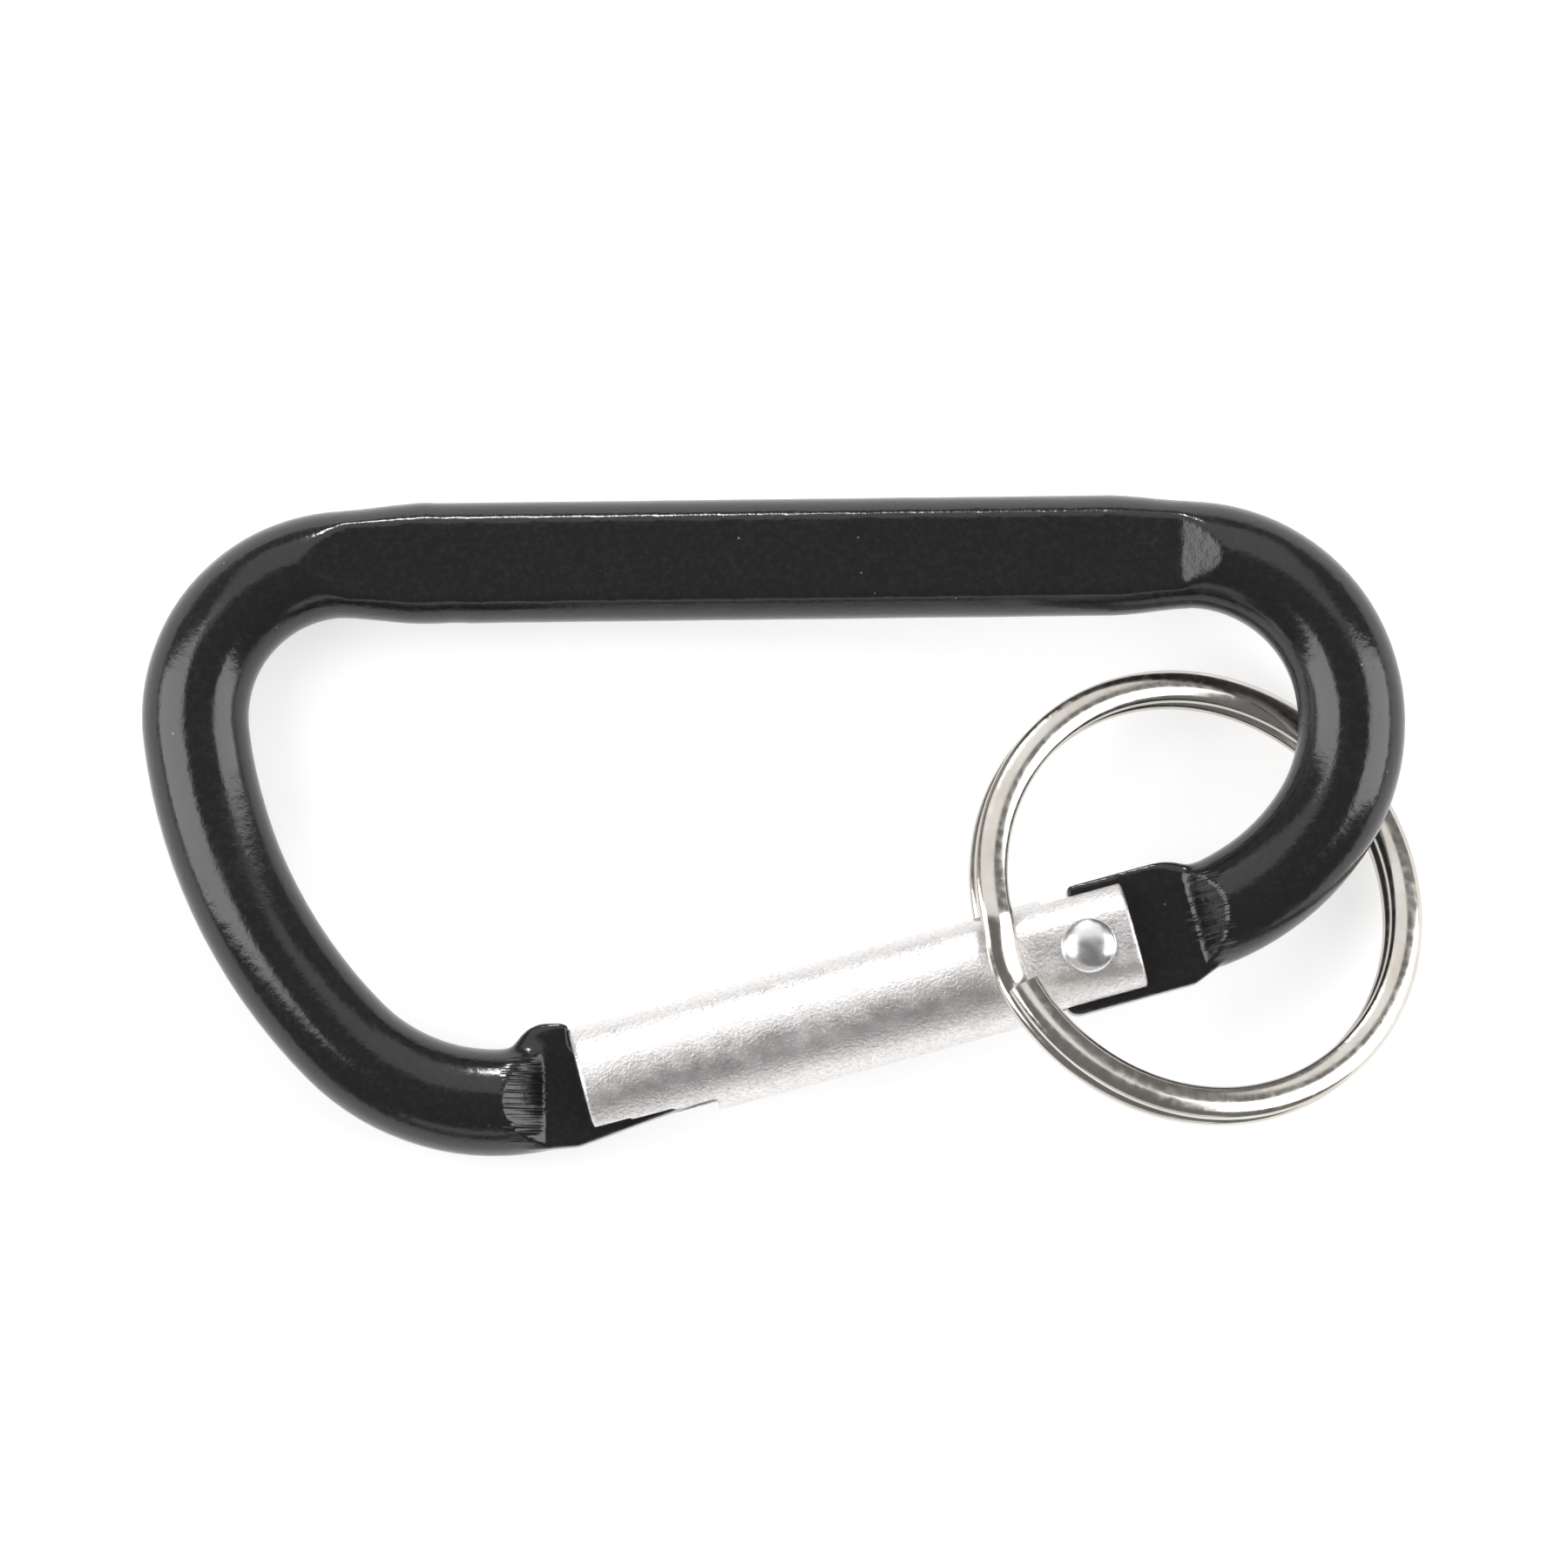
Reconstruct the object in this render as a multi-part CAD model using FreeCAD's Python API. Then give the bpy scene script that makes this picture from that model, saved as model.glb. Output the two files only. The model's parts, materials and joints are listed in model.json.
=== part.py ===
# Carabiner keyring: a forged D-shaped bar with a spring-loaded tube gate and a split ring.
#
# Everything is drawn in the plane of the D first, with the hinge rivet at the origin, +X towards
# the hinge end, +Y towards the spine and +Z towards the viewer. At the end the whole keyring is
# laid on a table: the split ring passes under the hinge-end bend, so the D leans a little on it.
import FreeCAD, Part
import os
from math import acos, asin, cos, degrees, pi, radians, sin, sqrt
from FreeCAD import Placement, Rotation, Vector

os.makedirs("parts", exist_ok=True)

# ---- driving dimensions, millimetres and degrees -------------------------------------------

# The D-shaped bar. A bend is a list of (radius, turn); the last radius of each bend is worked
# out so that the bar ends exactly on the gate's line.
bar_radius = 3.4
gate_angle = 14.6             # the gate slopes down from the hinge to the nose
spine_height = 25.0           # spine centreline above the rivet
spine_left = -46.7
spine_right = 6.55
nose_bend = [(9.7, 96.5), (33.3, 37.9)]
hinge_bend = [(10.4, 74.5), (11.5, 47.8)]

# The pressed spine: an oval with a flat on each face, where the label usually goes.
spine_half_width = 3.85
spine_half_height = 3.34
flat_z = 2.5
flat_left = -46.6
flat_right = 6.1
flat_run_out = 2.9
swell_left = 2.5
swell_right = 1.8

# The flattened ends of the bar, inside and beside the gate.
blade_thickness = 2.8
hinge_ramp_foot = -7.0        # along the gate, from the rivet
hinge_ramp_run = 2.1
nose_ramp_foot = -34.4        # this ramp is square to the spine, so it is an X value
nose_ramp_run = 2.65
finger_height = 4.05
finger_end = 0.38
tip_end = 2.4
tongue_end = 25.6
tongue_top = 2.5

# The gate.
tube_radius = 3.75
tube_wall = 0.78
tube_nose_end = 33.1
tube_hinge_end = -3.05
squeeze_z = 3.35              # the tube is pressed flat around the rivet to this height
squeeze_end = 3.9
squeeze_run_out = 1.3
hinge_slot_width = 2.94
stop_slot_end = 2.2           # its end meets the finger when the gate is fully open
outer_slot_end = 3.15
channel_start = 25.1
channel_half_width = 1.95
channel_mouth_half_width = 2.42
dimple_place = 20.9
dimple_azimuth = 32.0
dimple_bump = 1.5
dimple_hollow = 0.95

rivet_radius = 1.0
rivet_clearance = 0.06
rivet_head_radius = 1.75
rivet_head_height = 0.95

follower_face = 2.46
follower_nose_radius = 2.4
follower_nose_length = 3.1
follower_collar_radius = 2.87
follower_collar_length = 1.4
follower_stem_radius = 1.1
follower_stem_length = 6.0

spring_end = 19.3
spring_radius = 2.3
spring_wire_radius = 0.25
spring_turns = 9

# The split ring: one flattened wire wound twice, stepping from one coil to the other.
ring_outer = 15.0
ring_band = 2.15
ring_coil = 1.2
ring_coil_gap = 0.06
ring_corner = 0.42
ring_centre = Vector(6.95, 3.18, 0.55)
ring_lean = 40.0              # the way the ring's axis leans, from +X
ring_tilt = 23.6
ring_step_start = 188.0
ring_step_end = 208.5

# How the keyring lies: turned about X, then about Y.
rest_roll = 0.7
rest_pitch = -2.4

along = Vector(-cos(radians(gate_angle)), -sin(radians(gate_angle)), 0)    # rivet to nose
inward = Vector(-sin(radians(gate_angle)), cos(radians(gate_angle)), 0)    # gate to spine
up = Vector(0, 0, 1)
blade_half = blade_thickness / 2
bore_radius = tube_radius - tube_wall
reach = 12.0                  # more than any part is thick or wide, for cutters


# ---- helpers -------------------------------------------------------------------------------

def gate_point(u, n, z=0.0):
    """A point given along the gate from the rivet, inwards from the gate's line, and up."""
    return along * u + inward * n + up * z


def turned(vector, angle):
    return Rotation(up, angle).multVec(vector)


def arc_edge(start, heading, radius, turn):
    """An arc that starts along heading and turns by turn degrees, left when positive."""
    side = 1 if turn > 0 else -1
    to_centre = turned(heading, 90 * side) * radius
    centre = start + to_centre
    middle = centre - turned(to_centre, turn / 2)
    end = centre - turned(to_centre, turn)
    return Part.Arc(start, middle, end).toShape(), end, turned(heading, turn)


def bend_edges(start, heading, arcs, side, end_heading):
    """Chain arcs, then the one more that lands on the gate's line with the heading asked for."""
    edges = []
    for radius, turn in arcs:
        edge, start, heading = arc_edge(start, heading, radius, side * turn)
        edges.append(edge)
    last_turn = degrees(acos(heading.dot(end_heading)))
    radius = abs(start.dot(inward)) / (1 - cos(radians(last_turn)))
    edge, end, heading = arc_edge(start, heading, radius, side * last_turn)
    edges.append(edge)
    return edges, end


def prism(outline, thickness):
    """A closed solid from points and arcs in the plane of the D, centred on that plane.

    An entry of the outline is the next corner, or a pair: a point on the arc and its end."""
    edges = []
    start = outline[0]
    for step in outline[1:] + [outline[0]]:
        if isinstance(step, tuple):
            edges.append(Part.Arc(start, step[0], step[1]).toShape())
            start = step[1]
        elif (step - start).Length > 1e-6:
            edges.append(Part.LineSegment(start, step).toShape())
            start = step
    face = Part.Face(Part.Wire(edges))
    face.translate(up * (-thickness / 2))
    return face.extrude(up * thickness)


def cylinder_along_gate(radius, start, end):
    return Part.makeCylinder(radius, end - start, gate_point(start, 0), along)


def slab_cutter(profile, side_vector, across):
    """Cut above and below: a profile of (place, z) in the plane of along-vector across and Z."""
    cutters = []
    for sign in (1, -1):
        corners = [across * place + up * (sign * z) - side_vector * reach for place, z in profile]
        wire = Part.makePolygon(corners + [corners[0]])
        cutters.append(Part.Face(wire).extrude(side_vector * (2 * reach)))
    return cutters


# ---- the D-shaped bar ----------------------------------------------------------------------

def bar_path():
    """The bar's centreline from the nose, up the far bend, along the spine, to the hinge."""
    left = Vector(spine_left, spine_height, 0)
    right = Vector(spine_right, spine_height, 0)
    nose_side, nose_end = bend_edges(left, Vector(-1, 0, 0), nose_bend, 1, along * -1)
    hinge_side, hinge_end = bend_edges(right, Vector(1, 0, 0), hinge_bend, -1, along)
    spine = Part.LineSegment(left, right).toShape()
    return list(reversed(nose_side)) + [spine] + hinge_side, nose_end, hinge_end


def round_bar():
    edges, nose_end, hinge_end = bar_path()
    section = Part.Wire(Part.makeCircle(bar_radius, nose_end, along))
    bar = Part.Wire(Part.__sortEdges__(edges)).makePipeShell([section], True, False)
    nose_stub = Part.makeCylinder(bar_radius, nose_end.dot(along) - tube_nose_end - 0.5,
                                  nose_end, along * -1)
    hinge_stub = Part.makeCylinder(bar_radius, tube_hinge_end - hinge_end.dot(along) - 1.0,
                                   hinge_end, along)
    return bar, nose_stub, hinge_stub


def spine_section(x, outline):
    """An outline drawn flat, stood up across the spine at x."""
    stand = Placement(Vector(x, spine_height, 0), Rotation(Vector(0, 1, 0), up, Vector(1, 0, 0)))
    return Part.Wire(outline.transformed(stand.toMatrix(), True))


def pressed_spine():
    """The middle of the spine is an oval, wide across the bar, that fades into round ends."""
    oval = Part.Ellipse(Vector(0, 0, 0), spine_half_width, spine_half_height).toShape()
    circle = Part.makeCircle(bar_radius, Vector(0, 0, 0), up)
    start = spine_left + swell_left
    end = spine_right - swell_right
    middle = Part.Face(spine_section(start, oval)).extrude(Vector(end - start, 0, 0))
    left = Part.makeLoft([spine_section(spine_left, circle), spine_section(start, oval)], True, True)
    right = Part.makeLoft([spine_section(end, oval), spine_section(spine_right, circle)], True, True)
    return [middle, left, right]


def spine_flats():
    """Cutters for the two flats, which run out up a short ramp at each end."""
    top = bar_radius + 0.6
    rise = (top - flat_z) * flat_run_out / (bar_radius - flat_z)
    profile = [(flat_left, flat_z), (flat_right, flat_z), (flat_right + rise, top),
               (flat_left - rise, top)]
    cutters = slab_cutter(profile, Vector(0, 1, 0), Vector(1, 0, 0))
    for cutter in cutters:
        cutter.translate(Vector(0, spine_height - 2, 0))
    return cutters


def hinge_blade():
    """The flattened end that the gate turns on, with the finger on top that stops the gate."""
    low = -4.0
    cam_height = 2.4
    finger_round = 0.3
    cut_in = 2.58
    outline = [
        gate_point(-8.0, 2.9),
        gate_point(-7.45, 3.4),
        (gate_point(-6.7, 3.85), gate_point(-5.6, finger_height)),
        gate_point(finger_end - finger_round, finger_height),
        (gate_point(finger_end - 0.09, finger_height - 0.09),
         gate_point(finger_end, finger_height - finger_round)),
        gate_point(finger_end, 3.0),
        gate_point(tip_end - 0.2, cut_in),
        (gate_point(tip_end - 0.05, cut_in - 0.06), gate_point(tip_end, cam_height)),
        gate_point(tip_end - 0.04, low + 0.9),
        (gate_point(tip_end - 0.3, low + 0.26), gate_point(tip_end - 0.94, low)),
        gate_point(-6.0, low),
        gate_point(-8.0, -3.2),
    ]
    return prism(outline, blade_thickness)


def nose_blade():
    """The hump and the long tongue that the gate's open channel closes over."""
    swing = sqrt(tube_nose_end ** 2 + tube_radius ** 2) + 0.12
    upper = asin(4.3 / swing)
    middle = asin(3.4 / swing)
    lower = asin(tongue_top / swing)
    low = -2.95               # the tongue tapers to this at its tip
    outline = [
        gate_point(37.5, 2.9),
        gate_point(36.6, 3.6),
        (gate_point(35.9, 4.2), gate_point(34.9, 4.48)),
        gate_point(33.8, 4.5),
        (gate_point(33.4, 4.45), gate_point(swing * cos(upper), 4.3)),
        (gate_point(swing * cos(middle), 3.4), gate_point(swing * cos(lower), tongue_top)),
        gate_point(tongue_end + 0.5, tongue_top),
        (gate_point(tongue_end + 0.15, tongue_top - 0.15), gate_point(tongue_end, tongue_top - 0.5)),
        gate_point(tongue_end, low + 0.6),
        (gate_point(tongue_end + 0.18, low + 0.18), gate_point(tongue_end + 0.6, low)),
        gate_point(34.3, -3.65),
        gate_point(37.5, -3.1),
    ]
    return prism(outline, blade_thickness)


def end_ramps():
    """Cutters that thin the round bar down to the blades, each up a slope of its own."""
    top = bar_radius + 0.8
    rise = (top - blade_half) / (bar_radius - blade_half)
    hinge_slope = hinge_ramp_run * rise
    hinge = slab_cutter([(hinge_ramp_foot, blade_half), (hinge_ramp_foot + 8, blade_half),
                         (hinge_ramp_foot + 8, top), (hinge_ramp_foot - hinge_slope, top)],
                        inward, along)
    nose_slope = nose_ramp_run * rise
    nose = slab_cutter([(nose_ramp_foot, blade_half), (nose_ramp_foot + 8, blade_half),
                        (nose_ramp_foot + 8, top), (nose_ramp_foot - nose_slope, top)],
                       Vector(0, 1, 0), Vector(1, 0, 0))
    for cutter in nose:
        cutter.translate(Vector(0, -reach, 0))
    return hinge + nose


def frame_bar():
    bar, nose_stub, hinge_stub = round_bar()
    solid = bar.fuse(pressed_spine() + [nose_stub, hinge_stub])
    solid = solid.cut(spine_flats() + end_ramps())
    solid = solid.fuse([hinge_blade(), nose_blade()])
    hole = Part.makeCylinder(rivet_radius + rivet_clearance, 2 * reach, up * -reach, up)
    return solid.cut(hole).removeSplitter()


# ---- the gate ------------------------------------------------------------------------------

def squeeze_profile(z):
    """(place, z) corners of the pressed flat around the rivet, running out towards the nose."""
    start = tube_hinge_end - 1
    run_out = squeeze_run_out * (tube_radius + 1 - z) / (tube_radius - squeeze_z)
    return [(start, z), (squeeze_end, z), (squeeze_end + run_out, tube_radius + 1),
            (start, tube_radius + 1)]


def squeezed_walls():
    """The tube's inner wall where the squeeze has pushed it in, above and below the blade."""
    inner_z = squeeze_z - tube_wall
    plug = cylinder_along_gate(bore_radius + tube_wall / 2, tube_hinge_end, squeeze_end + 2.4)
    return [plug.common(cutter) for cutter in slab_cutter(squeeze_profile(inner_z), inward, along)]


def dimples():
    """Two dents in the back of the tube, side by side, that the spring seats on."""
    bumps = []
    hollows = []
    for sign in (1, -1):
        azimuth = radians(sign * dimple_azimuth)
        outward = inward * sin(azimuth) - up * cos(azimuth)
        place = gate_point(dimple_place, 0)
        bumps.append(Part.makeSphere(dimple_bump, place + outward * (tube_radius - 0.35)))
        hollows.append(Part.makeSphere(dimple_hollow, place + outward * (tube_radius - 0.2)))
    return bumps, hollows


def gate_sleeve():
    outer = cylinder_along_gate(tube_radius, tube_hinge_end, tube_nose_end)
    bore = cylinder_along_gate(bore_radius, tube_hinge_end - 1, tube_nose_end + 1)
    bumps, hollows = dimples()
    tube = outer.cut(bore).fuse(squeezed_walls() + [bump.common(outer) for bump in bumps])
    tube = tube.cut(slab_cutter(squeeze_profile(squeeze_z), inward, along) + hollows)
    slot_half = hinge_slot_width / 2
    stop_slot = Part.makeBox(stop_slot_end - tube_hinge_end + 1, reach, 2 * slot_half)
    outer_slot = Part.makeBox(outer_slot_end - tube_hinge_end + 1, reach, 2 * slot_half)
    to_gate = Rotation(along, inward * -1, up)
    outer_slot.Placement = Placement(gate_point(tube_hinge_end - 1, 0, -slot_half), to_gate)
    to_spine_side = Rotation(along * -1, inward, up)
    stop_slot.Placement = Placement(gate_point(stop_slot_end, 0, -slot_half), to_spine_side)
    channel = channel_cutter()
    rivet_hole = Part.makeCylinder(rivet_radius, 2 * reach, up * -reach, up)
    return tube.cut([stop_slot, outer_slot, channel, rivet_hole]).removeSplitter()


def channel_cutter():
    """The open channel along the outer side, flaring a little towards the nose."""
    far = tube_nose_end + 1
    corners = [gate_point(channel_start, 0, -channel_half_width),
               gate_point(channel_start, 0, channel_half_width),
               gate_point(far, 0, channel_mouth_half_width),
               gate_point(far, 0, -channel_mouth_half_width)]
    return Part.Face(Part.makePolygon(corners + [corners[0]])).extrude(inward * -reach)


def hinge_rivet():
    """A shank through both walls of the gate, clenched into a low dome at each end."""
    dome_radius = (rivet_head_radius ** 2 + rivet_head_height ** 2) / (2 * rivet_head_height)
    shank = Part.makeCylinder(rivet_radius, 2 * squeeze_z, up * -squeeze_z, up)
    cap = Part.makeCylinder(rivet_head_radius, rivet_head_height, up * squeeze_z, up)
    ball = Part.makeSphere(dome_radius, up * (squeeze_z + rivet_head_height - dome_radius))
    head = cap.common(ball)
    other = head.mirror(Vector(0, 0, 0), up)
    return shank.fuse([head, other]).removeSplitter()


def follower_pin():
    """The plunger that the spring holds against the end of the hinge blade."""
    collar_start = follower_face + follower_nose_length
    stem_start = collar_start + follower_collar_length
    nose = cylinder_along_gate(follower_nose_radius, follower_face, collar_start)
    collar = cylinder_along_gate(follower_collar_radius, collar_start, stem_start)
    stem = cylinder_along_gate(follower_stem_radius, stem_start, stem_start + follower_stem_length)
    return nose.fuse([collar, stem]).removeSplitter()


def return_spring():
    """A coil of half turns, each a tilted half circle, so that neighbours share a tangent."""
    start = follower_face + follower_nose_length + follower_collar_length + 0.05
    first = start + spring_wire_radius
    rise = (spring_end - spring_wire_radius - first) / (2 * spring_turns)
    half_turn_radius = sqrt(spring_radius ** 2 + (rise / 2) ** 2)
    edges = []
    for k in range(2 * spring_turns):
        side = 1 if k % 2 == 0 else -1
        low = Vector(side * spring_radius, 0, k * rise)
        middle = Vector(0, side * half_turn_radius, (k + 0.5) * rise)
        high = Vector(-side * spring_radius, 0, (k + 1) * rise)
        edges.append(Part.Arc(low, middle, high).toShape())
    section = Part.Wire(Part.makeCircle(spring_wire_radius, Vector(spring_radius, 0, 0),
                                        Vector(0, 1, 0)))
    coil = Part.Wire(edges).makePipeShell([section], True, False)
    to_gate = Placement(gate_point(first, 0), Rotation(inward, up, along))
    return coil.transformed(to_gate.toMatrix(), True)


# ---- the split ring ------------------------------------------------------------------------

def coil_section(angle, low):
    """The flattened wire's section, with round corners, standing on height low."""
    r1, r2 = ring_outer - ring_band, ring_outer
    z1, z2 = low, low + ring_coil
    c = ring_corner
    k = c * (1 - sqrt(0.5))

    def at(r, z):
        return Rotation(up, angle).multVec(Vector(r, 0, z))

    corners = [
        (at(r1 + c, z1), at(r2 - c, z1), at(r2 - k, z1 + k), at(r2, z1 + c)),
        (at(r2, z1 + c), at(r2, z2 - c), at(r2 - k, z2 - k), at(r2 - c, z2)),
        (at(r2 - c, z2), at(r1 + c, z2), at(r1 + k, z2 - k), at(r1, z2 - c)),
        (at(r1, z2 - c), at(r1, z1 + c), at(r1 + k, z1 + k), at(r1 + c, z1)),
    ]
    edges = []
    for side_start, side_end, round_middle, round_end in corners:
        edges.append(Part.LineSegment(side_start, side_end).toShape())
        edges.append(Part.Arc(side_end, round_middle, round_end).toShape())
    return Part.Wire(edges)


def split_ring():
    top_low = ring_coil_gap / 2
    bottom_low = -ring_coil - ring_coil_gap / 2
    turn = 360 - (ring_step_end - ring_step_start)
    top = Part.Face(coil_section(ring_step_end, top_low)).revolve(Vector(0, 0, 0), up, turn)
    bottom = Part.Face(coil_section(ring_step_end, bottom_low)).revolve(Vector(0, 0, 0), up, turn)
    sections = []
    stations = 8
    for i in range(stations + 1):
        share = i / stations
        fall = (1 - cos(pi * share)) / 2
        angle = ring_step_start + share * (ring_step_end - ring_step_start)
        sections.append(coil_section(angle, top_low + fall * (bottom_low - top_low)))
    step = Part.makeLoft(sections, True, False)
    ring = top.fuse([step, bottom])
    axis = Vector(-sin(radians(ring_lean)), cos(radians(ring_lean)), 0)
    lie = Placement(ring_centre, Rotation(axis, ring_tilt))
    return ring.transformed(lie.toMatrix(), True)


# ---- assembly ------------------------------------------------------------------------------

def rest_placement(shapes):
    """Lean the keyring as it lies on a table, and put the origin under its middle."""
    lean = Placement(Vector(0, 0, 0), Rotation(Vector(0, 1, 0), rest_pitch)
                     * Rotation(Vector(1, 0, 0), rest_roll))
    leaned = Part.makeCompound([shape.transformed(lean.toMatrix(), True) for shape in shapes])
    box = leaned.optimalBoundingBox(True, False)
    shift = Vector(-(box.XMin + box.XMax) / 2, -(box.YMin + box.YMax) / 2, -box.ZMin)
    return Placement(shift, lean.Rotation)


nodes = {
    "frame_bar": frame_bar(),
    "gate_sleeve": gate_sleeve(),
    "hinge_rivet": hinge_rivet(),
    "follower_pin": follower_pin(),
    "return_spring": return_spring(),
    "split_ring": split_ring(),
}
to_row = rest_placement([nodes["frame_bar"], nodes["gate_sleeve"], nodes["split_ring"]])

for name, shape in nodes.items():
    placed = shape.transformed(to_row.toMatrix(), True)
    placed.exportStep("parts/" + name + ".step")
    print(name, "valid" if placed.isValid() else "NOT VALID", "solids", len(placed.Solids),
          "volume %.2f mm3" % placed.Volume)
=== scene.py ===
import json
from math import cos, exp, log, pi, radians, sin, sqrt

import bpy
from mathutils import Matrix, Vector, noise


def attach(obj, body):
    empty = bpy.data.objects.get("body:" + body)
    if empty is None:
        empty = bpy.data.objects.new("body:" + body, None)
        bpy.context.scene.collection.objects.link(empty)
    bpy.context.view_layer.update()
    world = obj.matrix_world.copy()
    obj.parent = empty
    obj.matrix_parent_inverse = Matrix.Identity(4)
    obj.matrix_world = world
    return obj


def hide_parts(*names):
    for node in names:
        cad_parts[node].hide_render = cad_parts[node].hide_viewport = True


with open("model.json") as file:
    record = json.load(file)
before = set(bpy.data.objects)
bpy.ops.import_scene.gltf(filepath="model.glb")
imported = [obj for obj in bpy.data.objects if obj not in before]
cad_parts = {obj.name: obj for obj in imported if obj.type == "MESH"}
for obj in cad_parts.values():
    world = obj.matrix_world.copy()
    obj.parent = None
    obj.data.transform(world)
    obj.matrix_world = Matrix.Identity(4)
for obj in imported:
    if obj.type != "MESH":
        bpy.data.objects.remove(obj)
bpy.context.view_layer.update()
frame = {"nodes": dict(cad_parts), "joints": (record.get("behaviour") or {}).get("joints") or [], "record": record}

mm = 0.001


# Where things are in the frame.

def jointNamed(name):
    return next(joint for joint in frame["joints"] if joint["name"] == name)


def mountNamed(name):
    return next(mount for mount in frame["record"]["mounts"] if mount["name"] == name)


def axesAt(place, x, y, z):
    columns = Matrix((x, y, z)).transposed().to_4x4()
    return Matrix.Translation(Vector(place)) @ columns


gateHinge = jointNamed("gate_hinge")
faceNormal = -Vector(gateHinge["axis"]).normalized()               # out of the D's near face
towardsNose = Vector(jointNamed("follower_slide")["axis"]).normalized()
outwards = faceNormal.cross(towardsNose)                            # away from the spine
gateAxes = axesAt(gateHinge["pos_m"], towardsNose, outwards, faceNormal)

gateSlope = radians(14.6)
spineAlong = -(towardsNose * cos(gateSlope) - outwards * sin(gateSlope))
spineAcross = faceNormal.cross(spineAlong)
planeAxes = axesAt(gateHinge["pos_m"], spineAlong, spineAcross, faceNormal)

ringMount = mountNamed("key_ring")
ringNormal = Vector(ringMount["axis"]).normalized()
ringSide = Vector(jointNamed("ring_flip")["axis"]).normalized()
ringLow = ringSide.cross(ringNormal)                                # towards its lowest point
ringMiddleRadius = 13.925 * mm
ringAxes = axesAt(Vector(ringMount["pos_m"]) - ringLow * ringMiddleRadius,
                  ringLow, ringSide, ringNormal)


# Small helpers for working by hand.

def deselectAll():
    if bpy.context.object and bpy.context.object.mode != "OBJECT":
        bpy.ops.object.mode_set(mode="OBJECT")
    bpy.ops.object.select_all(action="DESELECT")


def pick(piece):
    deselectAll()
    piece.select_set(True)
    bpy.context.view_layer.objects.active = piece


def applyPlace(piece):
    pick(piece)
    bpy.ops.object.transform_apply(location=True, rotation=True, scale=True)


def named(name):
    piece = bpy.context.object
    piece.name = name
    piece.data.name = name
    return piece


def addCylinder(name, radius, start, end, sides=96):
    deselectAll()
    bpy.ops.mesh.primitive_cylinder_add(vertices=sides, radius=radius, depth=end - start,
                                        location=((start + end) / 2, 0, 0), rotation=(0, pi / 2, 0))
    piece = named(name)
    applyPlace(piece)
    return piece


def addBlock(name, low, high):
    deselectAll()
    middle = [(a + b) / 2 for a, b in zip(low, high)]
    bpy.ops.mesh.primitive_cube_add(size=1, location=middle)
    piece = named(name)
    piece.scale = [b - a for a, b in zip(low, high)]
    applyPlace(piece)
    return piece


def cutAway(piece, cutter):
    pick(piece)
    cut = piece.modifiers.new("cut", "BOOLEAN")
    cut.operation = "DIFFERENCE"
    cut.solver = "EXACT"
    cut.object = cutter
    bpy.ops.object.modifier_apply(modifier=cut.name)
    bpy.data.objects.remove(cutter)


def soften(piece, voxel, passes):
    pick(piece)                                     # an even skin, then its edges rounded over
    skin = piece.modifiers.new("skin", "REMESH")
    skin.mode = "VOXEL"
    skin.voxel_size = voxel
    bpy.ops.object.modifier_apply(modifier=skin.name)
    smooth = piece.modifiers.new("smooth", "SMOOTH")
    smooth.factor = 0.5
    smooth.iterations = passes
    bpy.ops.object.modifier_apply(modifier=smooth.name)


def smoothShade(piece, angle=None):
    pick(piece)
    if angle is None:
        bpy.ops.object.shade_smooth()
    else:
        bpy.ops.object.shade_smooth_by_angle(angle=radians(angle))


def smoothStep(value, start, end):
    t = min(max((value - start) / (end - start), 0), 1)
    return t * t * (3 - 2 * t)


def layInFrame(piece, axes):
    piece.data.transform(axes)
    piece.data.update()


def finishPiece(piece, material, body, node):
    piece.data.materials.clear()
    piece.data.materials.append(material)
    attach(piece, body)
    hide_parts(node)


# Materials.

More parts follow.
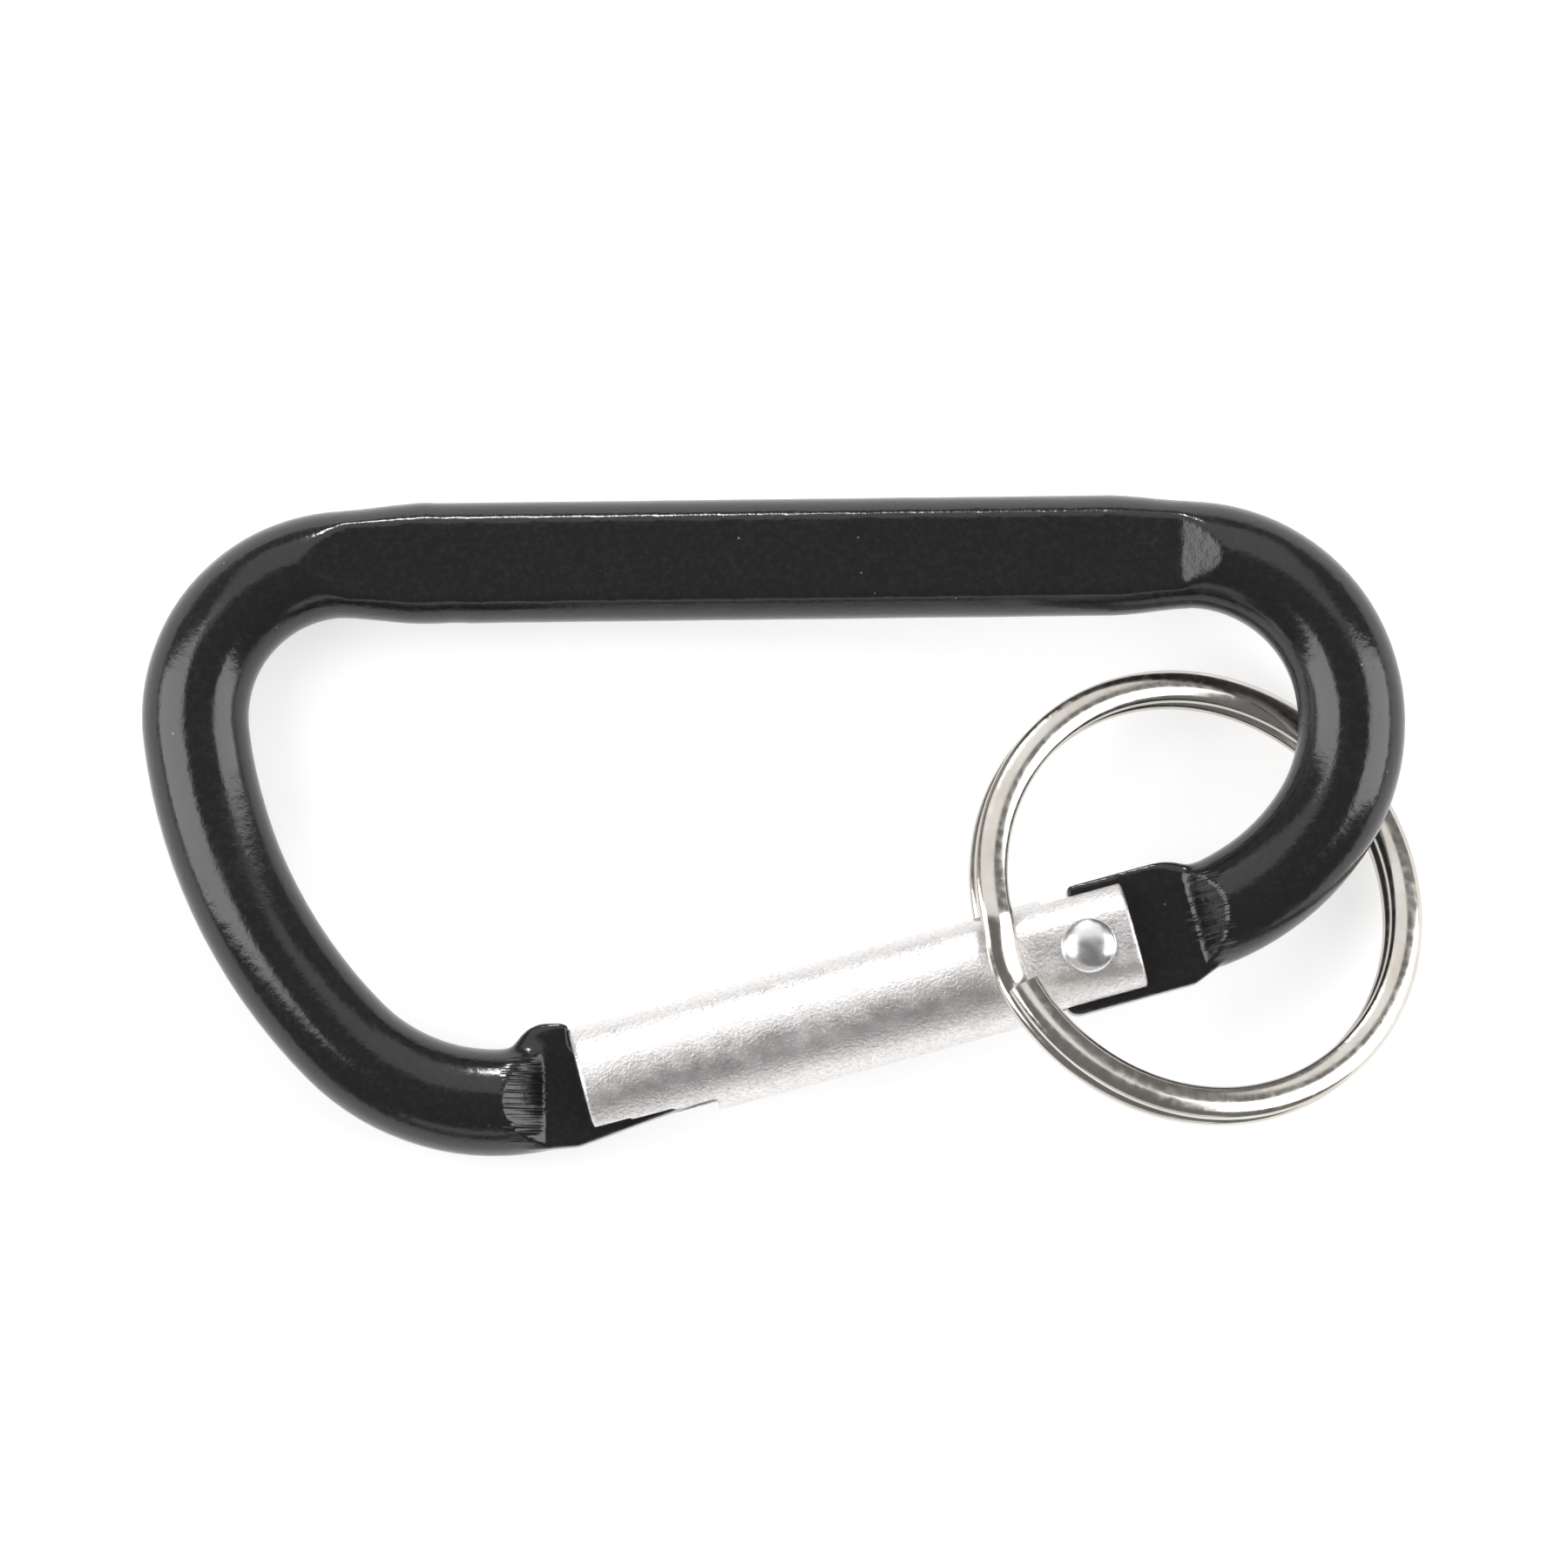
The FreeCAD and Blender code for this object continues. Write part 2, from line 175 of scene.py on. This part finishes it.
class Shading:
    def __init__(self, name, colour, metallic):
        self.material = bpy.data.materials.new(name)
        self.material.use_nodes = True
        self.tree = self.material.node_tree
        self.surface = self.tree.nodes["Principled BSDF"]
        self.surface.inputs["Base Color"].default_value = (*colour, 1)
        self.surface.inputs["Metallic"].default_value = metallic
        self.place = self.tree.nodes.new("ShaderNodeTexCoord").outputs["Object"]

    def link(self, a, b):
        self.tree.links.new(a, b)

    def mapped(self, axes, stretch, centre=(0, 0, 0)):
        # the pattern sits in the piece's own axes, drawn out by the stretch in each of them
        node = self.tree.nodes.new("ShaderNodeMapping")
        node.vector_type = "TEXTURE"
        node.inputs["Location"].default_value = axes @ Vector(centre)
        node.inputs["Rotation"].default_value = axes.to_euler()
        node.inputs["Scale"].default_value = stretch
        self.link(self.place, node.inputs["Vector"])
        return node.outputs["Vector"]

    def noise(self, scale, detail=2.0, rough=0.5, vector=None):
        node = self.tree.nodes.new("ShaderNodeTexNoise")
        node.inputs["Scale"].default_value = scale
        node.inputs["Detail"].default_value = detail
        node.inputs["Roughness"].default_value = rough
        self.link(vector or self.place, node.inputs["Vector"])
        return node.outputs["Fac"]

    def specks(self, scale, vector=None):
        node = self.tree.nodes.new("ShaderNodeTexVoronoi")
        node.inputs["Scale"].default_value = scale
        self.link(vector or self.place, node.inputs["Vector"])
        return node.outputs["Distance"]

    def spread(self, value, low, high, toLow=0.0, toHigh=1.0):
        node = self.tree.nodes.new("ShaderNodeMapRange")
        node.inputs["From Min"].default_value = low
        node.inputs["From Max"].default_value = high
        node.inputs["To Min"].default_value = toLow
        node.inputs["To Max"].default_value = toHigh
        self.link(value, node.inputs["Value"])
        return node.outputs["Result"]

    def calc(self, operation, a, b):
        node = self.tree.nodes.new("ShaderNodeMath")
        node.operation = operation
        for socket, value in zip(node.inputs, (a, b)):
            if isinstance(value, (int, float)):
                socket.default_value = value
            else:
                self.link(value, socket)
        return node.outputs["Value"]

    def mix(self, share, a, b):
        node = self.tree.nodes.new("ShaderNodeMix")
        node.data_type = "RGBA"
        self.link(share, node.inputs["Factor"])
        for socket, value in zip((node.inputs["A"], node.inputs["B"]), (a, b)):
            if isinstance(value, tuple):
                socket.default_value = (*value, 1)
            else:
                self.link(value, socket)
        return node.outputs["Result"]

    def bump(self, height, strength, distance, below=None):
        node = self.tree.nodes.new("ShaderNodeBump")
        node.inputs["Strength"].default_value = strength
        node.inputs["Distance"].default_value = distance
        self.link(height, node.inputs["Height"])
        if below is not None:
            self.link(below, node.inputs["Normal"])
        return node.outputs["Normal"]

    def use(self, socket, value):
        self.link(value, self.surface.inputs[socket])


# Pattern sizes are in marks per metre, and depths are what a full bump stands out.
enamel = {
    "colour": (0.0105, 0.0105, 0.011),
    "colourWorn": (0.017, 0.017, 0.018),
    "clouds": 160,                    # wide patches that are a little duller
    "fine": 2600,
    "dust": 620,
    "dustSize": 0.055,                # share of the distance between two specks
    "dustPatches": 95,
    "dustColour": (0.42, 0.41, 0.40),
    "sag": 450,
    "sagDepth": 0.022 * mm,
    "orangePeel": 2100,
    "peelDepth": 0.015 * mm,
    "grit": 6500,
    "gritDepth": 0.007 * mm,
    "ridges": 3400,
    "ridgeStretch": (30, 1, 30),      # the ridges run along the bar and do not end on the slope
    "ridgeDepth": 0.20 * mm,
    "rampSize": (1.9 * mm, 3.3 * mm, 1.9 * mm),
    "noseRamp": (-35.7 * mm, -9.3 * mm, 2.3 * mm),
    "hingeRamp": (-8.0 * mm, 0, 2.3 * mm),
}


def dieMarks(coat, below):
    # the forging die leaves fine ridges along the bar on both end ramps
    for place, axes in ((enamel["noseRamp"], planeAxes), (enamel["hingeRamp"], gateAxes)):
        within = coat.tree.nodes.new("ShaderNodeVectorMath")
        within.operation = "LENGTH"
        coat.link(coat.mapped(axes, enamel["rampSize"], place), within.inputs[0])
        mask = coat.spread(within.outputs["Value"], 0.75, 1.0, 1.0, 0.0)
        ridges = coat.noise(enamel["ridges"], 1, 0.5, coat.mapped(axes, enamel["ridgeStretch"]))
        height = coat.calc("MULTIPLY", coat.calc("SUBTRACT", ridges, 0.5), mask)
        below = coat.bump(height, 1.0, enamel["ridgeDepth"], below)
    return below


def makeEnamel():
    coat = Shading("black_enamel", enamel["colour"], 0.0)
    clouds = coat.noise(enamel["clouds"], 3)
    fine = coat.noise(enamel["fine"], 4, 0.6)
    coat.use("Roughness", coat.calc("ADD", coat.spread(clouds, 0.35, 0.7, 0.09, 0.16),
                                    coat.spread(fine, 0.4, 0.7, 0.0, 0.09)))
    specks = coat.spread(coat.specks(enamel["dust"]), 0.0, enamel["dustSize"], 1.0, 0.0)
    patches = coat.spread(coat.noise(enamel["dustPatches"], 2), 0.5, 0.62)
    dust = coat.calc("MULTIPLY", specks, patches)
    colour = coat.mix(coat.spread(fine, 0.45, 0.8), enamel["colour"], enamel["colourWorn"])
    coat.use("Base Color", coat.mix(dust, colour, enamel["dustColour"]))
    sag = coat.bump(coat.noise(enamel["sag"], 2, 0.5), 1.0, enamel["sagDepth"])
    peel = coat.bump(coat.noise(enamel["orangePeel"], 2, 0.5), 1.0, enamel["peelDepth"], sag)
    grit = coat.bump(coat.noise(enamel["grit"], 3, 0.6), 1.0, enamel["gritDepth"], peel)
    coat.use("Normal", dieMarks(coat, grit))
    return coat.material


aluminium = {
    "colour": (0.88, 0.862, 0.855),
    "shadowTint": (0.62, 0.59, 0.575),
    "grain": 5600,
    "grainStretch": (1.4, 1, 1),      # drawn out a little along the tube
    "grainDepth": 0.05 * mm,
    "patches": 700,
    "pits": 4400,
    "pitDepth": 0.045 * mm,
}


def makeAluminium():
    skin = Shading("satin_aluminium", aluminium["colour"], 1.0)
    drawn = skin.mapped(gateAxes, aluminium["grainStretch"])
    grain = skin.noise(aluminium["grain"], 3, 0.7, drawn)
    patches = skin.noise(aluminium["patches"], 4, 0.6)
    skin.use("Roughness", skin.calc("ADD", skin.spread(patches, 0.3, 0.7, 0.24, 0.42),
                                    skin.spread(grain, 0.35, 0.7, 0.0, 0.12)))
    skin.use("Base Color", skin.mix(skin.spread(grain, 0.44, 0.70), aluminium["colour"],
                                    aluminium["shadowTint"]))
    pits = skin.bump(skin.noise(aluminium["pits"], 2, 0.6), 0.8, aluminium["pitDepth"])
    skin.use("Normal", skin.bump(grain, 0.7, aluminium["grainDepth"], pits))
    return skin.material


rivetMetal = {
    "colour": (0.74, 0.74, 0.75),
    "mottle": 1500,
    "hammering": 750,
    "hammerDepth": 0.06 * mm,
}


def makeRivetMetal():
    skin = Shading("polished_aluminium", rivetMetal["colour"], 1.0)
    skin.use("Roughness", skin.spread(skin.noise(rivetMetal["mottle"], 3), 0.3, 0.7, 0.22, 0.34))
    skin.use("Normal", skin.bump(skin.noise(rivetMetal["hammering"], 2), 0.6,
                                 rivetMetal["hammerDepth"]))
    return skin.material


nickel = {
    "colour": (0.68, 0.655, 0.605),
    "colourDull": (0.58, 0.54, 0.49),
    "dullPatches": 300,
    "drawing": 1800,
    "drawingDepth": 0.015 * mm,
}


def makeNickel():
    skin = Shading("nickel_plate", nickel["colour"], 1.0)
    drawn = skin.noise(nickel["drawing"], 3, 0.6)
    dull = skin.spread(skin.noise(nickel["dullPatches"], 2), 0.4, 0.7)
    skin.use("Roughness", skin.spread(drawn, 0.3, 0.75, 0.10, 0.26))
    skin.use("Base Color", skin.mix(dull, nickel["colour"], nickel["colourDull"]))
    skin.use("Normal", skin.bump(drawn, 0.12, nickel["drawingDepth"]))
    return skin.material


springSteel = {
    "colour": (0.50, 0.50, 0.52),
    "mottle": 2500,
    "scratches": 4000,
    "scratchDepth": 0.01 * mm,
}


def makeSpringSteel():
    skin = Shading("spring_steel", springSteel["colour"], 1.0)
    skin.use("Roughness", skin.spread(skin.noise(springSteel["mottle"], 3), 0.3, 0.7, 0.2, 0.4))
    skin.use("Normal", skin.bump(skin.noise(springSteel["scratches"], 2), 0.2,
                                 springSteel["scratchDepth"]))
    return skin.material


plungerPlastic = {
    "colour": (0.80, 0.79, 0.74),
    "colourStained": (0.70, 0.69, 0.64),
    "stains": 500,
    "mottle": 900,
    "texture": 2200,
    "textureDepth": 0.01 * mm,
}


def makePlungerPlastic():
    skin = Shading("plunger_plastic", plungerPlastic["colour"], 0.0)
    mottle = skin.noise(plungerPlastic["mottle"], 3)
    stains = skin.noise(plungerPlastic["stains"], 2)
    skin.use("Roughness", skin.spread(mottle, 0.3, 0.7, 0.36, 0.52))
    skin.use("Base Color", skin.mix(stains, plungerPlastic["colour"],
                                    plungerPlastic["colourStained"]))
    skin.use("Normal", skin.bump(skin.noise(plungerPlastic["texture"], 2), 0.2,
                                 plungerPlastic["textureDepth"]))
    return skin.material


# The D-shaped bar.

bar = {
    "voxel": 0.17 * mm,
    "passes": 8,
    "waviness": 0.012 * mm,           # forged metal is never quite even
    "waveLength": 3.0 * mm,
    "spineHeight": 25.0 * mm,
    "roundHalf": 3.40 * mm,           # half the bar's width, then half the pressed spine's
    "pressedHalf": 3.85 * mm,
    "leftSwell": (-46.7 * mm, -44.2 * mm),
    "rightSwell": (6.55 * mm, 4.75 * mm),
    "swellLength": 6.0 * mm,
    "swellLead": 1.0 * mm,            # the eased swell starts this far before the sharp one
    "spineMiddle": -20.0 * mm,
    "spineReach": 5.0 * mm,           # what lies this near the spine's line is part of it
    "spineSpan": (-49.0 * mm, 9.0 * mm),
    "feet": ((36.4 * mm, -3.6 * mm, 0), (35.8 * mm, -3.25 * mm, 1.6 * mm),
             (35.8 * mm, -3.25 * mm, -1.6 * mm), (-7.3 * mm, -3.5 * mm, 0)),
    "footReach": 2.3 * mm,
    "footPasses": 60,
    "humpFace": 33.3 * mm,
    "humpReach": 1.3 * mm,
    "humpLean": 0.14 * mm,
    "humpLeanRise": (1.6 * mm, 2.6 * mm),
    "cornerSpan": (33.0 * mm, 34.9 * mm),     # the hump's corner falls away towards the gate
    "cornerRise": (3.2 * mm, 4.4 * mm),
    "cornerDrop": 0.42 * mm,
    "cornerLimit": (32.0 * mm, 6.0 * mm),     # nothing beyond this is the hump
}


def sharpShare(x, start, end):
    return min(max((x - start) / (end - start), 0), 1)


def easedShare(x, start, end):
    side = 1 if end > start else -1
    begin = start * side - bar["swellLead"]
    return smoothStep(x * side, begin, begin + bar["swellLength"])


def easeSwell(place):
    start, end = bar["leftSwell"] if place.x < bar["spineMiddle"] else bar["rightSwell"]
    wider = bar["pressedHalf"] - bar["roundHalf"]
    sharp = bar["roundHalf"] + wider * sharpShare(place.x, start, end)
    eased = bar["roundHalf"] + wider * easedShare(place.x, start, end)
    return (place.y - bar["spineHeight"]) * (eased / sharp - 1)


def easeFeet(piece):
    # where the hump and the finger rise from the round bar they flow into it
    feet = piece.vertex_groups.new(name="feet")
    places = [gateAxes @ Vector(place) for place in bar["feet"]]
    for vertex in piece.data.vertices:
        away = min((vertex.co - place).length for place in places) / bar["footReach"]
        if away < 1:
            feet.add([vertex.index], 1 - away * away, "REPLACE")
    pick(piece)
    ease = piece.modifiers.new("ease", "SMOOTH")
    ease.vertex_group = feet.name
    ease.factor = 0.5
    ease.iterations = bar["footPasses"]
    bpy.ops.object.modifier_apply(modifier=ease.name)


def closeHump(place):
    # how far the hump's face leans to the gate's end, making up for what smoothing took away
    beside = 1 - smoothStep(abs(place.x - bar["humpFace"]), 0, bar["humpReach"])
    return -towardsNose * bar["humpLean"] * beside * smoothStep(-place.y, *bar["humpLeanRise"])


def roundHump(place):
    along, inward = bar["cornerLimit"]
    if place.x < along or place.y < -inward:
        return Vector()
    fall = 1 - smoothStep(place.x, *bar["cornerSpan"])
    return outwards * bar["cornerDrop"] * fall * smoothStep(-place.y, *bar["cornerRise"])


def makeBar(material):
    piece = frame["nodes"]["frame_bar"].copy()
    piece.data = piece.data.copy()
    piece.parent = None
    bpy.context.scene.collection.objects.link(piece)
    piece.name = "bar"
    for key in list(piece.keys()):
        del piece[key]
    pick(piece)
    bpy.ops.object.mode_set(mode="EDIT")
    bpy.ops.mesh.select_all(action="SELECT")
    bpy.ops.mesh.remove_doubles(threshold=0.001 * mm)
    bpy.ops.object.mode_set(mode="OBJECT")
    soften(piece, bar["voxel"], bar["passes"])
    easeFeet(piece)
    toPlane = planeAxes.inverted()
    toGate = gateAxes.inverted()
    spineStart, spineEnd = bar["spineSpan"]
    outward = [vertex.normal.copy() for vertex in piece.data.vertices]
    for vertex, normal in zip(piece.data.vertices, outward):
        wave = noise.noise(vertex.co / bar["waveLength"]) * bar["waviness"]
        place = toPlane @ vertex.co
        near = abs(place.y - bar["spineHeight"]) < bar["spineReach"]
        onSpine = near and spineStart < place.x < spineEnd
        swell = spineAcross * easeSwell(place) if onSpine else Vector()
        atGate = toGate @ vertex.co
        vertex.co += normal * wave + swell + closeHump(atGate) + roundHump(atGate)
    smoothShade(piece)
    finishPiece(piece, material, "frame", "frame_bar")
    return piece


# The tube gate.

gate = {
    "radius": 3.75 * mm,
    "wall": 0.78 * mm,
    "hingeEnd": -3.05 * mm,
    "noseEnd": 33.14 * mm,
    "slotHalf": 1.47 * mm,
    "stopSlotEnd": 2.2 * mm,
    "outerSlotEnd": 3.15 * mm,
    "channelStart": 25.1 * mm,
    "channelHalf": 1.95 * mm,
    "mouthHalf": 2.42 * mm,
    "squeezeHeight": 3.36 * mm,
    "squeezeStart": 3.0 * mm,
    "squeezeFade": 3.6 * mm,
    "squeezeSoftness": 0.16 * mm,
    "dimplePlace": 20.9 * mm,
    "dimpleAzimuth": radians(32),
    "dimpleDepth": 1.0 * mm,
    "dimpleSize": 0.85 * mm,
    "voxel": 0.14 * mm,
    "passes": 3,
}


def channelCutter():
    piece = addBlock("channel", (gate["channelStart"], 1.0 * mm, -gate["channelHalf"]),
                     (gate["noseEnd"] + 1 * mm, 6 * mm, gate["channelHalf"]))
    spread = gate["mouthHalf"] / gate["channelHalf"]
    for vertex in piece.data.vertices:                # the mouth flares a little
        if vertex.co.x > gate["noseEnd"]:
            vertex.co.z *= spread
    return piece


def squeeze(vertex):
    share = 1 - smoothStep(vertex.co.x, gate["squeezeStart"],
                           gate["squeezeStart"] + gate["squeezeFade"])
    if share <= 0:
        return
    skin = sqrt(max(gate["radius"] ** 2 - vertex.co.y ** 2, 0))        # the tube's surface here
    over = (skin - gate["squeezeHeight"]) / gate["squeezeSoftness"]
    push = share * gate["squeezeSoftness"] * log(1 + exp(over))
    vertex.co.z -= push if vertex.co.z > 0 else -push


def dent(vertex, azimuth):
    across = Vector((0, sin(azimuth), -cos(azimuth)))
    centre = Vector((gate["dimplePlace"], 0, 0)) + across * gate["radius"]
    away = (vertex.co - centre).length / gate["dimpleSize"]
    if away < 3:
        vertex.co -= across * gate["dimpleDepth"] * exp(-away * away)


def makeGate(material):
    ends = gate["hingeEnd"], gate["noseEnd"]
    piece = addCylinder("tube_gate", gate["radius"], *ends, sides=128)
    bore = gate["radius"] - gate["wall"]
    cutAway(piece, addCylinder("bore", bore, ends[0] - mm, ends[1] + mm, sides=128))
    half = gate["slotHalf"]
    cutAway(piece, addBlock("stopSlot", (ends[0] - mm, -6 * mm, -half), (gate["stopSlotEnd"], 0, half)))
    cutAway(piece, addBlock("outerSlot", (ends[0] - mm, 0, -half), (gate["outerSlotEnd"], 6 * mm, half)))
    cutAway(piece, channelCutter())
    soften(piece, gate["voxel"], gate["passes"])
    for vertex in piece.data.vertices:
        squeeze(vertex)
        dent(vertex, gate["dimpleAzimuth"])
        dent(vertex, -gate["dimpleAzimuth"])
    smoothShade(piece)
    layInFrame(piece, gateAxes)
    finishPiece(piece, material, "gate", "gate_sleeve")
    return piece


# The rivet.

rivet = {
    "headRadius": 1.75 * mm,
    "headHeight": 0.95 * mm,
    "seat": 3.3 * mm,
    "shankRadius": 1.0 * mm,
    "rim": 0.16 * mm,
    "rings": 12,
    "crown": 0.6,                 # of one more ring, so the last one is not a point
}


def domedHead(name, side):
    deselectAll()
    rim = rivet["rim"]
    bpy.ops.mesh.primitive_cylinder_add(vertices=72, radius=rivet["headRadius"], depth=rim,
                                        location=(0, 0, rivet["seat"] + rim / 2))
    piece = named(name)
    applyPlace(piece)
    bpy.ops.object.mode_set(mode="EDIT")
    bpy.ops.mesh.select_mode(type="FACE")
    bpy.ops.mesh.select_all(action="DESELECT")
    bpy.ops.object.mode_set(mode="OBJECT")
    top = max(piece.data.polygons, key=lambda face: face.center.z)
    top.select = True
    bpy.ops.object.mode_set(mode="EDIT")
    width = 1.0
    height = 0.0
    rise = rivet["headHeight"] - rim
    for step in range(1, rivet["rings"] + 1):
        angle = step / (rivet["rings"] + rivet["crown"]) * pi / 2
        bpy.ops.mesh.extrude_region_move(
            TRANSFORM_OT_translate={"value": (0, 0, rise * sin(angle) - height)})
        bpy.ops.transform.resize(value=(cos(angle) / width,) * 2 + (1,))
        width = cos(angle)
        height = rise * sin(angle)
    bpy.ops.mesh.poke()
    bpy.ops.object.mode_set(mode="OBJECT")
    if side < 0:
        piece.rotation_euler = (pi, 0, 0)
        applyPlace(piece)
    return piece


def makeRivet(material):
    deselectAll()
    bpy.ops.mesh.primitive_cylinder_add(vertices=48, radius=rivet["shankRadius"],
                                        depth=2 * rivet["seat"])
    shank = named("rivet")
    parts = [domedHead("headNear", 1), domedHead("headFar", -1), shank]
    deselectAll()
    for part in parts:
        part.select_set(True)
    bpy.context.view_layer.objects.active = shank
    bpy.ops.object.join()
    smoothShade(shank, 50)
    layInFrame(shank, gateAxes)
    finishPiece(shank, material, "gate", "hinge_rivet")
    return shank


# The split ring.

ring = {
    "outer": 15.0 * mm,
    "band": 2.15 * mm,
    "coil": 1.2 * mm,
    "gap": 0.06 * mm,
    "roundness": 2.15,             # 2 is an ellipse, more is squarer
    "sectionPoints": 28,
    "stepStart": radians(148.0),
    "stepTurn": radians(20.5),
    "stepParts": 24,
    "coilParts": 300,
}


def wireSection(angle, height):
    deselectAll()
    bpy.ops.mesh.primitive_circle_add(vertices=ring["sectionPoints"], radius=1, fill_type="NGON")
    piece = named("split_ring")
    middle = ring["outer"] - ring["band"] / 2
    power = 2 / ring["roundness"]
    for vertex in piece.data.vertices:
        x, y = vertex.co.x, vertex.co.y
        across = abs(x) ** power * (1 if x > 0 else -1) * ring["band"] / 2
        upward = abs(y) ** power * (1 if y > 0 else -1) * ring["coil"] / 2
        vertex.co = ((middle + across) * cos(angle), (middle + across) * sin(angle), height + upward)
    return piece


def makeRing(material):
    top = (ring["coil"] + ring["gap"]) / 2
    start = ring["stepStart"] + ring["stepTurn"]
    wholeTurn = 2 * pi - ring["stepTurn"]
    piece = wireSection(start, top)
    bpy.ops.object.mode_set(mode="EDIT")
    bpy.ops.mesh.select_all(action="SELECT")
    bpy.ops.mesh.spin(steps=ring["coilParts"], angle=-wholeTurn, center=(0, 0, 0), axis=(0, 0, 1))
    turn = ring["stepTurn"] / ring["stepParts"]
    level = top
    for part in range(1, ring["stepParts"] + 1):        # the wire steps down to the lower coil
        share = part / ring["stepParts"]
        wanted = top * cos(pi * share)
        bpy.ops.mesh.spin(steps=1, angle=-turn, center=(0, 0, 0), axis=(0, 0, 1))
        bpy.ops.transform.translate(value=(0, 0, wanted - level))
        level = wanted
    bpy.ops.mesh.spin(steps=ring["coilParts"], angle=-wholeTurn, center=(0, 0, 0), axis=(0, 0, 1))
    bpy.ops.mesh.select_all(action="SELECT")
    bpy.ops.mesh.remove_doubles(threshold=0.0005 * mm)
    bpy.ops.mesh.normals_make_consistent(inside=False)
    bpy.ops.object.mode_set(mode="OBJECT")
    smoothShade(piece, 40)
    layInFrame(piece, ringAxes)
    finishPiece(piece, material, "ring", "split_ring")
    return piece


# Floor, light and camera.

studio = {
    "floorColour": (0.50, 0.50, 0.50),
    "floorRoughness": 0.9,
    "floorSize": 3,
    "floorGlow": 0.64,                # a light table, so that shadows stay faint
    "world": 0.20,
    "cameraTilt": radians(4.5),       # the view leans this far from square to the D
    "cameraRoll": radians(0.67),
    "cameraDistance": 0.62,
    "viewWidth": 99.45 * mm,          # what the frame takes in, at the D
    "viewCentre": (-19.09 * mm, 10.68 * mm, 0),
}

# softboxes: degrees round from +X, degrees down from overhead, distance, width, height, brightness
softboxes = {
    "left": (180, 56.5, 0.60, 0.45, 0.62, 4.0),
    "right": (2, 61, 0.60, 0.42, 0.53, 4.0),
    "back": (92, 42, 0.62, 0.80, 0.60, 0.92),
    "spark": (97, 66, 0.62, 0.09, 0.085, 55),
    "front": (-90, 74, 0.62, 0.60, 0.14, 1.0),
}


def makeFloor():
    deselectAll()
    bpy.ops.mesh.primitive_plane_add(size=studio["floorSize"], location=(0, 0, 0))
    floor = named("floor")
    paper = Shading("floor_paper", studio["floorColour"], 0.0)
    paper.surface.inputs["Roughness"].default_value = studio["floorRoughness"]
    paper.surface.inputs["Specular IOR Level"].default_value = 0.1
    paper.surface.inputs["Emission Color"].default_value = (1, 1, 1, 1)
    paper.surface.inputs["Emission Strength"].default_value = studio["floorGlow"]
    floor.data.materials.append(paper.material)


def addSoftbox(name, around, down, distance, width, height, brightness):
    data = bpy.data.lights.new(name, "AREA")
    data.shape = "RECTANGLE"
    data.size = width
    data.size_y = height
    data.energy = pi * width * height * brightness
    light = bpy.data.objects.new(name, data)
    bpy.context.scene.collection.objects.link(light)
    level = sin(radians(down))
    towards = Vector((cos(radians(around)) * level, sin(radians(around)) * level, cos(radians(down))))
    light.location = towards * distance
    light.rotation_euler = towards.to_track_quat("Z", "Y").to_euler()


def makeLights():
    world = bpy.data.worlds.new("studio")
    bpy.context.scene.world = world
    world.use_nodes = True
    level = studio["world"]
    world.node_tree.nodes["Background"].inputs["Color"].default_value = (level, level, level, 1)
    for name, numbers in softboxes.items():
        addSoftbox(name, *numbers)


def makeCamera():
    tilt = studio["cameraTilt"]
    towards = Vector((0, -sin(tilt), cos(tilt)))
    upward = Vector((sin(studio["cameraRoll"]), cos(studio["cameraRoll"]), 0))
    upward = (upward - towards * upward.dot(towards)).normalized()
    right = upward.cross(towards)
    turnToRow = planeAxes.to_3x3()
    place = planeAxes @ Vector(studio["viewCentre"]) + turnToRow @ towards * studio["cameraDistance"]
    data = bpy.data.cameras.new("camera")
    data.sensor_width = 36
    data.lens = 36 * studio["cameraDistance"] / studio["viewWidth"]
    data.clip_start = 0.01
    camera = bpy.data.objects.new("camera", data)
    bpy.context.scene.collection.objects.link(camera)
    camera.matrix_world = axesAt(place, turnToRow @ right, turnToRow @ upward, turnToRow @ towards)
    bpy.context.scene.camera = camera


makeCamera()
makeFloor()
makeLights()
bpy.context.scene.view_settings.view_transform = "Standard"
print("studio ready")

makeBar(makeEnamel())
print("bar done")
makeGate(makeAluminium())
print("gate done")
makeRivet(makeRivetMetal())
makeRing(makeNickel())
print("rivet and split ring done")
for node, material in (("return_spring", makeSpringSteel()), ("follower_pin", makePlungerPlastic())):
    frame["nodes"][node].data.materials.clear()
    frame["nodes"][node].data.materials.append(material)
print("materials done")
